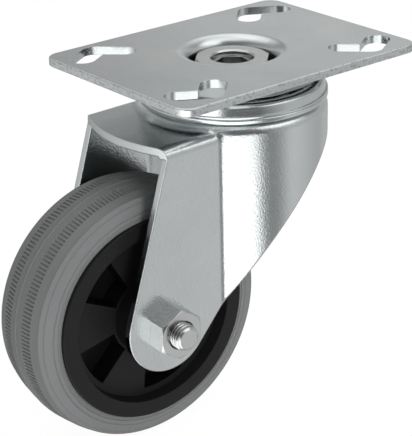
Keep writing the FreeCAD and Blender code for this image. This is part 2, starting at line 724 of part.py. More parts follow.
def tyre(doc, s):
    """Tyre moulded on the rim: gently domed tread, round shoulders, sides that lean in."""
    wide, crown, edge = s["tyre_wide"] / 2, s["wheel_radius"], s["tread_edge"]
    seat, rim = s["seat_radius"], s["rim_radius"]
    side, bead = s["rim_wide"] / 2 - s["flange_wide"], wide - s["side_taper"]
    drop, shoulder = s["tread_drop"], crown - s["shoulder_drop"]
    tread, sweep = crown - drop, (edge * edge + drop * drop) / (2 * drop)
    turned_body(doc, "tyre", [("Revolution", [
        (seat, -side), (rim, -side), (rim, -bead), (shoulder, -wide, s["shoulder_round"]),
        (tread, -edge, sweep), (tread, edge, s["shoulder_round"]), (shoulder, wide),
        (rim, bead), (rim, side), (seat, side)])])


def levels(s):
    """Depths and radii that follow from the driving sizes."""
    z = {}
    z["dish_radius"] = s["king_nut_flats"] / root(size(3)) + s["dish_gap"]
    z["dish_lip"] = z["dish_radius"] + s["dish_bend"]
    z["nut_seat"] = -(s["king_nut_sink"] + s["king_nut_height"])
    z["dish_under"] = z["nut_seat"] - s["plate_thick"]
    z["king_end"] = -(s["king_nut_sink"] + s["king_end_sink"])
    z["plate_under"] = -s["plate_thick"]
    z["upper_race_foot"] = z["plate_under"] - s["upper_race_height"]
    z["lower_race_top"] = z["upper_race_foot"] - s["race_gap"]
    z["lower_race_foot"] = z["lower_race_top"] - s["lower_race_height"]
    z["crown_top"] = z["lower_race_foot"] - s["crown_ring_thick"]
    z["crown_under"] = z["crown_top"] - s["fork_sheet"]
    z["crown_flat"] = z["crown_top"] - s["crown_step"]
    z["crown_front_top"] = z["crown_flat"] - s["leg_front"] * tangent(s["crown_fall"])
    reach = s["ball"] / 2 + s["ball_gap"]
    z["upper_balls"] = z["lower_race_top"] - s["groove_depth"] + reach
    z["upper_flat"] = z["upper_balls"] + reach - s["groove_depth"]
    z["lower_balls"] = z["crown_under"] + s["groove_depth"] - reach
    z["washer_top"] = z["lower_balls"] - reach + s["groove_depth"]
    z["king_head_top"] = z["washer_top"] - s["king_washer_thick"]
    z["fork_reach"] = s["offset"] + 2 * s["leg_end_radius"]
    z["fork_low"] = -(s["axle_drop"] + 2 * s["leg_end_radius"])
    z["sleeve_radius"] = s["axle_thread"] / 2 + s["axle_play"] + s["sleeve_wall"]
    z["roller_pitch"] = z["sleeve_radius"] + s["roller_gap"] + s["roller"] / 2
    z["shell_bore"] = z["roller_pitch"] + s["roller"] / 2 + s["roller_gap"]
    z["hub_half"] = s["fork_wide"] / 2 - s["fork_sheet"] - s["cap_thick"] - s["cap_gap"]
    z["cage_half"] = z["hub_half"] - s["roller_cage_inset"]
    z["roller_half"] = z["cage_half"] - s["roller_inset"]
    return z


def place(piece, x=0, y=0, level=0, tilt=0, turn=0, swivel=0):
    """Turns a piece about its own Z axis, tips it about X, moves it, then swivels it with the fork."""
    spot = "placement(vector(%s; %s; %s); rotationx(%s) * rotationz(%s))" % tuple(
        size(value).text for value in (x, y, level, tilt, turn))
    piece.setExpression("Placement", "placement(vector(0; 0; 0); rotationz(%s)) * %s"
                        % (size(swivel).text, spot))


def place_pieces(doc, s, z):
    """Stands every piece in its place in the castor."""
    swivel, half = s["fork_turn"], s["fork_wide"] / 2
    ahead, down = -s["offset"], -s["axle_drop"]
    place(doc.getObject("king_nut"), level=z["nut_seat"], turn=s["king_nut_turn"])
    place(doc.getObject("king_bolt"), turn=s["socket_turn"])
    for name in ("fork", "lower_race", "crown_ring"):
        place(doc.getObject(name), swivel=swivel)
    place(doc.getObject("axle_nut"), ahead, -half, down, 90, s["axle_nut_turn"], swivel)
    for name in ("axle_bolt", "axle_sleeve", "hub_cap_left", "hub_cap_right",
                 "bearing_rollers", "roller_cage", "bearing_shell", "tyre"):
        place(doc.getObject(name), ahead, 0, down, -90, 0, swivel)
    place(doc.getObject("wheel_rim"), ahead, 0, down, -90, -s["pocket_turn"], swivel)


def check(doc, pieces):
    """Stops where a feature failed or a piece has no sound solid."""
    for thing in doc.Objects:
        if "Invalid" in thing.State or "Error" in thing.State:
            raise RuntimeError("%s did not build: %s" % (thing.Label, thing.State))
    for piece in pieces:
        if piece.Shape.isNull() or not piece.Shape.isValid() or not piece.Shape.Solids:
            raise RuntimeError(piece.Label + " has no sound solid")


def main():
    doc = FreeCAD.newDocument("swivel_castor")
    s = make_sheet(doc)
    z = levels(s)

    top_plate(doc, s, z)
    hexagon_nut(doc, "king_nut", s["king_nut_flats"], s["king_nut_height"],
                s["king_thread"] / 2 + s["thread_gap"], s["nut_bevel"])
    king_bolt(doc, s, z)
    king_washer(doc, s, z)
    swivel_rings(doc, s, z)
    for row in ("upper", "lower"):
        pitch, count = s[row + "_pitch"], s[row + "_balls"]
        ball_row(doc, s, row + "_balls", pitch, z[row + "_balls"], count)
        ball_cage(doc, s, row + "_ball_cage", pitch, z[row + "_balls"], count)
    fork(doc, s, z)
    axle_parts(doc, s, z)
    hub_bearing(doc, s, z)
    wheel_rim(doc, s, z)
    tyre(doc, s)
    place_pieces(doc, s, z)
    doc.recompute()

    pieces = [thing for thing in doc.Objects if thing.isDerivedFrom("PartDesign::Body")]
    check(doc, pieces)
    os.makedirs("parts", exist_ok=True)
    for piece in pieces:
        piece.Shape.exportStep("parts/%s.step" % piece.Label)


main()
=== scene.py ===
"""Swivel castor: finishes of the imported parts, moulded tyre, threaded axle and plain studio."""

import json
import math

import bmesh
import bpy
from bpy.props import FloatProperty, FloatVectorProperty, IntProperty, PointerProperty
from mathutils import Matrix, Vector


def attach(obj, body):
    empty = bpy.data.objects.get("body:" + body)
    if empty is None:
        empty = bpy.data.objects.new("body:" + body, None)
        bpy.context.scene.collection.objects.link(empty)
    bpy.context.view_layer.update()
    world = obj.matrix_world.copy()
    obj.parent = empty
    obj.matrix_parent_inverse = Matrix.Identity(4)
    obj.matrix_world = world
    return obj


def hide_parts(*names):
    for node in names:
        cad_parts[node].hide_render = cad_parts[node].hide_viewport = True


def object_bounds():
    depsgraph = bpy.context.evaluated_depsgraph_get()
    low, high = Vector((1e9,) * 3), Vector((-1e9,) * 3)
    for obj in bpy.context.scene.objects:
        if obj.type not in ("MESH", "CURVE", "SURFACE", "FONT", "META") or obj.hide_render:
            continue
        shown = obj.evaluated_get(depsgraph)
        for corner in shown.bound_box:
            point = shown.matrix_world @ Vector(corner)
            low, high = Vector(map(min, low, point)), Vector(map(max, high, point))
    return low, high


bl_info = {
    "name": "Swivel castor looks",
    "version": (1, 0, 0),
    "blender": (4, 5, 0),
    "location": "View3D > Sidebar > Castor",
    "description": "Dresses a plate-mounted swivel castor and sets it in a plain studio",
    "category": "Object",
}

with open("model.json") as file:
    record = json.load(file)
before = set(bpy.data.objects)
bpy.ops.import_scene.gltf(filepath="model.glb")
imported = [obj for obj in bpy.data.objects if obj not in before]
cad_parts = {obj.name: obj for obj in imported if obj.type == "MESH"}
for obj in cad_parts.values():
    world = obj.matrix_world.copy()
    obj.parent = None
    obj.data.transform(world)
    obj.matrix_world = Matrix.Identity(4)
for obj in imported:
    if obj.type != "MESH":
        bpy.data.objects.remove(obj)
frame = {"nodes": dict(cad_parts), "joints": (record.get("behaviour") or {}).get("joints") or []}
cad_box = [list(corner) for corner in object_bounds()]

MM = 0.001
AXLE = next(joint for joint in frame["joints"] if joint["name"] == "wheel_spin")
AXLE_CENTRE = Vector(AXLE["pos_m"])
AXLE_LINE = Vector(AXLE["axis"]).normalized()
FLOOR_LEVEL = cad_box[0][2]

ZINC_SHEET = ("lower_race", "crown_ring", "hub_cap_left", "hub_cap_right")
# Sheet that stays in the shade, finished rougher and with a darker zinc tint as painted shade.
DULL_SHADED_SHEET = ("upper_race", "king_washer")
FASTENERS = ("king_nut", "king_bolt", "axle_nut")
BEARING_STEEL = ("upper_balls", "lower_balls", "axle_sleeve", "bearing_rollers", "bearing_shell")
CAGES = ("upper_ball_cage", "lower_ball_cage", "roller_cage")

# The tyre's section past the grooved bands, in mm: the shoulder with its ridge, as distance from
# the middle and drop under the tread, and the side with its fine lines down to the seat on the
# rim, as distance from the middle and radius.
TYRE_SHOULDER = ((9.2, 0.85), (10.6, 1.12), (12.4, 1.7), (12.75, 1.7), (12.95, 1.7), (13.15, 1.85),
                 (13.3, 2.25), (13.9, 3.05), (13.9, 3.25), (14.05, 3.4), (14.25, 3.45),
                 (14.65, 4.1), (15.05, 5), (15.37, 6))
TYRE_SIDE = ((15.45, 43.6), (15.22, 43.4), (15.22, 43.2), (15.5, 43), (15.5, 41.75),
             (15.25, 41.6), (15.25, 41.4), (15.45, 41.25), (15.4, 40.5), (15.2, 39.8),
             (14.4, 39.8), (14.4, 36.5))

# One groove of the tread as shares of its turn: land, wall, root, wall and land.
GROOVE_CUTS = (0, 0.25, 0.34, 0.66, 0.75, 1)

# The studio as shiny surfaces show it: for each height over the horizon, in degrees, the brightness
# round it as (bearing, level), with bearings in degrees anticlockwise from +X.
STUDIO_ROWS = (
    (-17, ((-180, 1.4), (-160, 2.0), (-138, 2.4), (-106, 2.4), (-100, 1.4), (-95, 0.42),
           (-80, 0.36), (-70, 0.55), (-61, 0.86), (-51, 0.88), (-30, 0.75), (-4, 0.58), (9, 0.67),
           (25, 0.6), (45, 0.4), (70, 0.4), (100, 0.6), (129, 0.85), (150, 0.95), (180, 1.4))),
    (-12, ((-180, 2.2), (-165, 2.6), (-149, 2.6), (-142, 0.25), (-100, 0.2), (-80, 0.5),
           (-60, 0.75), (-20, 0.7), (30, 0.6), (129, 0.8), (155, 1.2), (180, 2.2))),
    (10, ((-180, 1.6), (-165, 2.0), (-149, 2.0), (-142, 0.2), (-100, 0.2), (-80, 0.5),
          (-60, 0.75), (-20, 0.6), (30, 0.6), (129, 0.8), (155, 1.0), (180, 1.6))),
    (17, ((-180, 0.5), (-160, 0.2), (-100, 0.25), (-60, 0.8), (30, 0.76), (44, 0.84), (50, 0.87),
          (53, 0.68), (57, 0.46), (100, 0.5), (180, 0.5))),
    (23, ((-180, 0.4), (-160, 0.2), (-100, 0.25), (-60, 1.2), (-20, 0.5), (40, 0.62), (50, 0.42),
          (60, 0.24), (100, 0.5), (180, 0.4))),
    (35, ((-180, 0.3), (-100, 0.25), (-88, 1.9), (-40, 1.9), (-25, 0.5), (5, 0.6), (20, 0.9),
          (60, 0.8), (110, 0.6), (180, 0.3))),
    (50, ((-180, 0.5), (-105, 0.4), (-88, 1.8), (-36, 1.8), (-20, 0.6), (20, 1.3), (60, 1.6),
          (110, 1.4), (180, 0.5))),
    (66, ((-180, 1.3), (-90, 1.6), (0, 1.2), (60, 1.6), (120, 1.8), (180, 1.3))),
)
# The studio's brightness for all other light, as one level.
STUDIO_SOFT = 0.6

# Soft lamps, which light the rubber and the plastic: name, place, target, size and power.
LAMPS = (
    ("key_soft", (0.35, -0.55, 0.80), (0, 0, -0.05), 0.6, 3),
    ("fill_low", (-0.35, -1.0, 0.02), (-0.04, 0, -0.09), 0.3, 7),
    ("back_soft", (-0.2, 0.55, 1.0), (0, 0, -0.05), 0.8, 2),
)

# The floor's paper: its grey under the lamps, and the share and level of the white over it.
PAPER_GREY, PAPER_SHARE, PAPER_LEVEL = 0.85, 0.93, 1.03

# The camera's place, its turn, dip and lean in degrees, and its lens shift.
CAMERA_PLACE = (-0.37749, -0.44594, 0.18409)
CAMERA_TURN, CAMERA_DIP, CAMERA_LEAN = -39.35, 23.40, -1.14
CAMERA_SHIFT = (-0.0114, -0.0002)

# Points nearer than this, in metres, are merged.
WELD = 1e-6
# Edges sharper than this, in degrees, aren't shaded smooth.
SHARP = 35


# Sizes and colours that a user would change


def colour(name, text, value):
    """A colour that a user can change."""
    return FloatVectorProperty(name=name, description=text, default=value, size=3,
                               subtype="COLOR", min=0, max=1)


def length(name, text, value):
    """A length that a user can change, with its default in mm."""
    return FloatProperty(name=name, description=text, default=value * MM, unit="LENGTH",
                         precision=5)


class CastorSteel(bpy.types.PropertyGroup):
    """Colours and finish of the steel pieces."""

    zinc: colour("Zinc", "Colour of the plated sheet", (0.52, 0.545, 0.55))
    # painted shade: this darker zinc tint stands in for the shade these pieces lie in
    shaded_zinc: colour("Dull zinc", "Colour of the sheet that stays in the shade", (0.26, 0.28, 0.28))
    fastener: colour("Fasteners", "Colour of nuts and bolts", (0.50, 0.51, 0.505))
    bearing: colour("Bearing steel", "Colour of balls and rollers", (0.62, 0.62, 0.63))
    # the thread's grooves take this colour as painted shade; the cut specks are the plate edge's
    # own colour
    shadow: colour("Specks", "Colour of cut specks and of the thread's grooves", (0.1, 0.1, 0.1))
    roughness: FloatProperty(name="Roughness", description="Roughness of the plated sheet",
                             default=0.16, min=0, max=1, subtype="FACTOR")
    cut_roughness: FloatProperty(name="Cut roughness", description="Roughness of the cut edge",
                                 default=0.42, min=0, max=1, subtype="FACTOR")
    edge: length("Edge", "Radius by which sheet edges look rounded", 0.45)


class CastorPlastic(bpy.types.PropertyGroup):
    """Colours of the plastic pieces."""

    rim: colour("Rim", "Colour of the moulded rim", (0.009, 0.009, 0.0088))
    # painted shade in the rim's deep pockets
    pocket_shade: colour("Pockets", "Colour in the rim's pockets", (0.004, 0.004, 0.004))
    web: length("Web", "Thickness of the rim's web", 24.0)
    cage: colour("Cages", "Colour of the ball and roller cages", (0.34, 0.345, 0.33))


class CastorTyre(bpy.types.PropertyGroup):
    """Sizes and colour of the rubber tyre."""

    rubber: colour("Rubber", "Colour of the tyre", (0.138, 0.143, 0.144))
    radius: length("Radius", "Radius of the tread at its middle", 50)
    arch: length("Arch", "Radius of the tread's arch from side to side", 50.5)
    mould_line: length("Mould line", "Height of the line round the middle of the tread", 0.25)
    grooves: IntProperty(name="Grooves", description="Cross grooves in one turn", default=200,
                         min=24, max=400)
    groove_depth: length("Groove depth", "Depth of the cross grooves", 0.5)
    band_start: length("Band start", "Where a grooved band begins, from the middle", 3.6)
    band_end: length("Band end", "Where a grooved band ends, from the middle", 8.75)


class CastorAxle(bpy.types.PropertyGroup):
    """Sizes of the axle's thread."""

    start: length("Start", "Where the thread begins, from the wheel's middle", 30)
    end: length("End", "Where the axle ends, from the wheel's middle", 38.4)
    radius: length("Radius", "Radius over the thread", 5)
    tip: length("Tip", "Radius of the bevelled end face", 3.7)
    pitch: length("Pitch", "Rise of the thread in one turn", 1.5)
    depth: length("Depth", "Depth of the thread", 0.85)


class CastorStage(bpy.types.PropertyGroup):
    """Camera and light."""

    lens: FloatProperty(name="Lens", description="Focal length of the camera", default=134.37,
                        unit="CAMERA")
    lamp: FloatProperty(name="Lamps", description="Strength of the soft lamps", default=1,
                        min=0, max=4)


# Shader groups and materials


def grey(level):
    """A grey as a colour socket takes it."""
    return level, level, level, 1


def add(tree, kind, settings=None, **values):
    """A node with its settings and inputs set; an input given a socket is linked to it.

    An input goes by its name, with _ for a space, or by _ and its number.
    """
    node = tree.nodes.new(kind)
    for key, value in (settings or {}).items():
        setattr(node, key, value)
    for key, value in values.items():
        place = node.inputs[int(key[1:]) if key[1:].isdigit() else key.replace("_", " ")]
        if isinstance(value, bpy.types.NodeSocket):
            tree.links.new(value, place)
        else:
            place.default_value = value
    return node


def bare_tree(owner):
    """The emptied node tree of a new material or world."""
    owner.use_nodes = True
    owner.node_tree.nodes.clear()
    return owner.node_tree


def grain_group():
    """Fine crystal grain and slow clouds, for plated, moulded and rubber surfaces."""
    group = bpy.data.node_groups.new("surface_grain", "ShaderNodeTree")
    effects = (("Grain size", 0.5 * MM, "Grain", 3.0), ("Cloud size", 20 * MM, "Clouds", 4.0))
    for size, value, effect, _ in effects:
        socket = group.interface.new_socket(size, in_out="INPUT", socket_type="NodeSocketFloat")
        socket.default_value = value
        group.interface.new_socket(effect, in_out="OUTPUT", socket_type="NodeSocketFloat")
    given, out = group.nodes.new("NodeGroupInput"), group.nodes.new("NodeGroupOutput")
    where = add(group, "ShaderNodeTexCoord").outputs["Object"]
    for size, _, effect, detail in effects:
        scale = add(group, "ShaderNodeMath", {"operation": "DIVIDE"}, _0=1.0,
                    _1=given.outputs[size])
        noise = add(group, "ShaderNodeTexNoise", Vector=where, Scale=scale.outputs[0],
                    Detail=detail, Roughness=0.55)
        group.links.new(noise.outputs["Fac"], out.inputs[effect])
    return group


def surface(name, tint, rough, grain, metal=0.0, edge=0.0, cloud=20 * MM, bump=0.02 * MM,
            shade=0.08, warmth=0.0, rough_spread=0.06, shine=0.5):
    """A finish with clouded colour, grained roughness, a fine bump and soft edges.

    Grain and cloud are the sizes of the two patterns, and bump is the grain's height. Shade and
    warmth say how far the clouds change the tint, and rough_spread how far the grain changes the
    roughness. Edge is the radius by which edges look rounded, and shine the strength of the gloss
    where there is no metal.
    """
    made = bpy.data.materials.new(name)
    tree = bare_tree(made)
    effects = bpy.data.node_groups.get("surface_grain") or grain_group()
    group = add(tree, "ShaderNodeGroup", {"node_tree": effects}, Grain_size=grain,
                Cloud_size=cloud)
    cool, warm = (1 - warmth, 1, 1 + warmth), (1 + warmth, 1, 1 - warmth)
    dark = [part * (1 - shade) * turn for part, turn in zip(tint, cool)]
    light = [part * (1 + shade) * turn for part, turn in zip(tint, warm)]
    clouded = add(tree, "ShaderNodeMix", {"data_type": "RGBA"}, _0=group.outputs["Clouds"],
                  _6=(*dark, 1), _7=(*light, 1))
    gloss = add(tree, "ShaderNodeMapRange", Value=group.outputs["Grain"], _3=rough - rough_spread,
                _4=rough + rough_spread)
    relief = add(tree, "ShaderNodeBump", Height=group.outputs["Grain"], Distance=bump,
                 Strength=1.0)
    if edge:
        soft = add(tree, "ShaderNodeBevel", {"samples": 6}, Radius=edge)
        tree.links.new(soft.outputs[0], relief.inputs["Normal"])
    shader = add(tree, "ShaderNodeBsdfPrincipled", Base_Color=clouded.outputs[2],
                 Roughness=gloss.outputs[0], Metallic=metal, Specular_IOR_Level=shine,
                 Normal=relief.outputs[0])
    add(tree, "ShaderNodeOutputMaterial", Surface=shader.outputs[0])
    return made


def bolt_zinc(name, look):
    """The smooth zinc of nuts and bolts."""
    return surface(name, look.fastener, rough=0.2, grain=0.6 * MM, metal=1.0,
                   edge=look.edge * 0.6, bump=0.03 * MM, shade=0.12, rough_spread=0.1)


def colour_where(tree, share, tint):
    """Turns a finish to another colour, as far as share says."""
    shader = tree.nodes["Principled BSDF"]
    plain = shader.inputs["Base Color"].links[0].from_socket
    mix = add(tree, "ShaderNodeMix", {"data_type": "RGBA"}, _0=share, _6=plain, _7=(*tint, 1))
    tree.links.new(mix.outputs[2], shader.inputs["Base Color"])


def dress(names, finish):
    """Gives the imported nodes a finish."""
    for name in names:
        for slot in frame["nodes"][name].material_slots:
            slot.material = finish


# Meshes


def placed(name, data):
    """A new object in the scene."""
    made = bpy.data.objects.new(name, data)
    bpy.context.collection.objects.link(made)
    return made


def axle_frame():
    """Turns and moves a mesh from about the Y axis to about the axle."""
    across = AXLE_LINE.cross(Vector((0, 0, 1))).normalized()
    turn = Matrix((across, AXLE_LINE, Vector((0, 0, 1)))).transposed().to_4x4()
    return Matrix.Translation(AXLE_CENTRE) @ turn


def as_mesh(name, built):
    """What was built as a mesh, with its faces outwards."""
    bmesh.ops.recalc_face_normals(built, faces=built.faces)
    mesh = bpy.data.meshes.new(name)
    built.to_mesh(mesh)
    built.free()
    return mesh


def finished(name, mesh, body, node, finish):
    """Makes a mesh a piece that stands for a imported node."""
    piece = placed(name, mesh)
    mesh.materials.clear()
    mesh.materials.append(finish)
    mesh.shade_smooth()
    mesh.set_sharp_from_angle(angle=math.radians(SHARP))
    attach(piece, body)
    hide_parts(node)


def tyre_profile(sizes):
    """Half of the tyre's section as (along, radius), from the middle of the tread to the seat.

    It comes as the plain middle, the grooved band and the rest.
    """
    def arch(along):
        return along, sizes.radius - along * along / (2 * sizes.arch)

    margin, slope = 0.4 * MM, 0.3 * MM
    mould_line = (0.15 * MM, sizes.radius + sizes.mould_line)
    start, high = arch(sizes.band_start)
    end, low = arch(sizes.band_end)
    middle = [mould_line, arch(margin), arch(start - margin)]
    band = [(start, high), (start + slope, high), (end - slope, low), (end, low)]
    shoulder = [(along * MM, sizes.radius - drop * MM) for along, drop in TYRE_SHOULDER]
    side = [(along * MM, radius * MM) for along, radius in TYRE_SIDE]
    return middle, band, shoulder + side


def tyre_segment(sizes):
    """One groove's share of the tyre, as a mesh about the Y axis."""
    built = bmesh.new()
    turn = 2 * math.pi / sizes.grooves
    middle, band, rest = tyre_profile(sizes)
    ends, flat, low = (0, 1), (0,) * len(GROOVE_CUTS), sizes.groove_depth
    groove = (0, 0, low, low, 0, 0)
    plan = [(point, ends, flat) for point in middle]
    plan += [(point, GROOVE_CUTS, cut) for point, cut in zip(band, (flat, groove, groove, flat))]
    plan += [(point, ends, flat) for point in rest]

    def row(side, point, shares, depths):
        """The vertices round the segment at one point of the section."""
        along, radius = point
        return [built.verts.new(((radius - depth) * math.sin(share * turn), side * along,
                                 (radius - depth) * math.cos(share * turn)))
                for share, depth in zip(shares, depths)]

    def strip(near, far):
        """The faces between two rows, or one face where only one row has a groove's cuts."""
        if len(near) != len(far):
            built.faces.new([*near, *reversed(far)])
            return
        for i in range(len(near) - 1):
            built.faces.new((near[i], near[i + 1], far[i + 1], far[i]))

    sides = []
    for side in (1, -1):
        rows = [row(side, *step) for step in plan]
        for near, far in zip(rows, rows[1:]):
            strip(near, far)
        sides.append((rows[0], rows[-1]))
    for near, far in zip(*sides):
        strip(near, far)
    return as_mesh("tyre_segment", built)


def ring_tree():
    """Geometry nodes that repeat a segment round the Y axis and weld the ring."""
    tree = bpy.data.node_groups.new("segment_ring", "GeometryNodeTree")
    for label, kind in (("Geometry", "NodeSocketGeometry"), ("Count", "NodeSocketInt"),
                        ("Weld", "NodeSocketFloat"), ("Finish", "NodeSocketMaterial")):
        tree.interface.new_socket(label, in_out="INPUT", socket_type=kind)
    tree.interface.new_socket("Geometry", in_out="OUTPUT", socket_type="NodeSocketGeometry")
    given, out = tree.nodes.new("NodeGroupInput"), tree.nodes.new("NodeGroupOutput")
    points = add(tree, "GeometryNodePoints", Count=given.outputs["Count"])
    index = add(tree, "GeometryNodeInputIndex").outputs[0]
    step = add(tree, "ShaderNodeMath", {"operation": "DIVIDE"}, _0=2 * math.pi,
               _1=given.outputs["Count"])
    angle = add(tree, "ShaderNodeMath", {"operation": "MULTIPLY"}, _0=index,
                _1=step.outputs[0])
    turn = add(tree, "ShaderNodeCombineXYZ", Y=angle.outputs[0])
    copies = add(tree, "GeometryNodeInstanceOnPoints", Points=points.outputs[0],
                 Instance=given.outputs["Geometry"], Rotation=turn.outputs[0])
    real = add(tree, "GeometryNodeRealizeInstances", Geometry=copies.outputs[0])
    welded = add(tree, "GeometryNodeMergeByDistance", Geometry=real.outputs[0],
                 Distance=given.outputs["Weld"])
    dressed = add(tree, "GeometryNodeSetMaterial", Geometry=welded.outputs[0],
                  Material=given.outputs["Finish"])
    tree.links.new(dressed.outputs[0], out.inputs[0])
    return tree


def grown(name, mesh, tree, values):
    """The plain mesh that a node tree makes of a mesh."""
    seed = placed(name, mesh)
    nodes = seed.modifiers.new(name, "NODES")
    nodes.node_group = tree
    for item in tree.interface.items_tree:
        if item.name in values:
            nodes[item.identifier] = values[item.name]
    bpy.context.view_layer.update()
    done = bpy.data.meshes.new_from_object(
        seed.evaluated_get(bpy.context.evaluated_depsgraph_get()))
    done.name = name
    bpy.data.objects.remove(seed)
    return done


# Operators, one for each piece or group of like pieces


class DressSteel(bpy.types.Operator):
    """Gives the plated sheet, the fasteners and the bearing steel their finishes"""

    bl_idname = "castor.dress_steel"
    bl_label = "Dress steel"

    def execute(self, context):
        look = context.scene.castor_steel
        dress(ZINC_SHEET, surface(
            "zinc_sheet", look.zinc, rough=look.roughness, grain=0.45 * MM, metal=1.0,
            edge=look.edge, bump=0.028 * MM, shade=0.07, warmth=0.015))
        dress(("fork",), surface(
            "zinc_fork", look.zinc, rough=look.roughness, grain=0.7 * MM, metal=1.0,
            edge=look.edge * 1.8, bump=0.08 * MM, shade=0.07, warmth=0.015))
        # painted shade: a darker zinc for the pieces that stay in the shade
        dress(DULL_SHADED_SHEET, surface(
            "dull_shaded_zinc", look.shaded_zinc, rough=0.38, grain=0.45 * MM, metal=1.0, edge=look.edge,
            shade=0.1, warmth=0.01))
        plate = surface(
            "zinc_plate", look.zinc, rough=look.roughness + 0.06, grain=0.5 * MM, metal=1.0,
            edge=look.edge * 0.6, cloud=30 * MM, bump=0.028 * MM, shade=0.15, warmth=0.02)
        self.shear(plate.node_tree, look)
        dress(("top_plate",), plate)
        dress(FASTENERS, bolt_zinc("zinc_fastener", look))
        dress(BEARING_STEEL, surface(
            "polished_steel", look.bearing, rough=0.12, grain=0.8 * MM, metal=1.0))
        return {"FINISHED"}

    def shear(self, tree, look):
        """Makes the plate's cut edge rough and speckled, past the flat of the top face."""
        shader = tree.nodes["Principled BSDF"]
        where = add(tree, "ShaderNodeTexCoord").outputs["Object"]
        parts = add(tree, "ShaderNodeSeparateXYZ", Vector=where)
        inner, outer = 0.8 * MM, 0.4 * MM
        masks = []
        for axis, half in (("X", cad_box[1][0]), ("Y", cad_box[1][1])):
            far = add(tree, "ShaderNodeMath", {"operation": "ABSOLUTE"}, _0=parts.outputs[axis])
            masks.append(add(tree, "ShaderNodeMapRange", Value=far.outputs[0],
                             _1=half - inner, _2=half - outer).outputs[0])
        cut = add(tree, "ShaderNodeMath", {"operation": "MAXIMUM"}, _0=masks[0], _1=masks[1])
        smooth = shader.inputs["Roughness"].links[0].from_socket
        rough = add(tree, "ShaderNodeMix", {"data_type": "FLOAT"}, _0=cut.outputs[0], _2=smooth,
                    _3=look.cut_roughness)
        tree.links.new(rough.outputs[0], shader.inputs["Roughness"])
        # specks lie where the noise is under low, and fade out up to high
        low, high, strength = 0.36, 0.48, 0.38
        noise = add(tree, "ShaderNodeTexNoise", Vector=where, Scale=900.0, Detail=3.0)
        speck = add(tree, "ShaderNodeMapRange", Value=noise.outputs["Fac"], _1=low, _2=high,
                    _3=strength, _4=0.0)
        share = add(tree, "ShaderNodeMath", {"operation": "MULTIPLY"}, _0=cut.outputs[0],
                    _1=speck.outputs[0])
        colour_where(tree, share.outputs[0], look.shadow)


class DressPlastic(bpy.types.Operator):
    """Gives the moulded rim and the cages their plastic"""

    bl_idname = "castor.dress_plastic"
    bl_label = "Dress plastic"

    def execute(self, context):
        look = context.scene.castor_plastic
        plastic = surface("black_plastic", look.rim, rough=0.45, grain=0.3 * MM, edge=0.4 * MM,
                          bump=0.01 * MM, shade=0.2, shine=0.15)
        # paints shade into the rim's pockets
        self.pockets(plastic.node_tree, look)
        dress(("wheel_rim",), plastic)
        dress(CAGES, surface("polymer_cage", look.cage, rough=0.45, grain=0.3 * MM, shade=0.1))
        return {"FINISHED"}

    def pockets(self, tree, look):
        """Paints shade into the rim's pockets, which are sunk between the faces of its web."""
        where = add(tree, "ShaderNodeTexCoord").outputs["Object"]
        there = add(tree, "ShaderNodeVectorMath", {"operation": "SUBTRACT"}, _0=where,
                    _1=AXLE_CENTRE)
        along = add(tree, "ShaderNodeVectorMath", {"operation": "DOT_PRODUCT"},
                    _0=there.outputs[0], _1=AXLE_LINE)
        deep = add(tree, "ShaderNodeMath", {"operation": "ABSOLUTE"}, _0=along.outputs["Value"])
        # the painted shade fades out just under the web's face
        face = look.web / 2
        share = add(tree, "ShaderNodeMapRange", Value=deep.outputs[0], _1=face - 0.5 * MM,
                    _2=face - 0.1 * MM, _3=1.0, _4=0.0)
        colour_where(tree, share.outputs[0], look.pocket_shade)


class MouldTyre(bpy.types.Operator):
    """Moulds the tyre with its two grooved bands and fine side rings"""

    bl_idname = "castor.mould_tyre"
    bl_label = "Mould tyre"

    def execute(self, context):
        sizes = context.scene.castor_tyre
        rubber = surface("grey_rubber", sizes.rubber, rough=0.62, grain=0.25 * MM,
                         cloud=30 * MM, shade=0.1)
        mesh = grown("tyre_rubber", tyre_segment(sizes), ring_tree(),
                     {"Count": sizes.grooves, "Weld": WELD, "Finish": rubber})
        mesh.transform(axle_frame())
        finished("tyre_rubber", mesh, "wheel", "tyre", rubber)
        return {"FINISHED"}


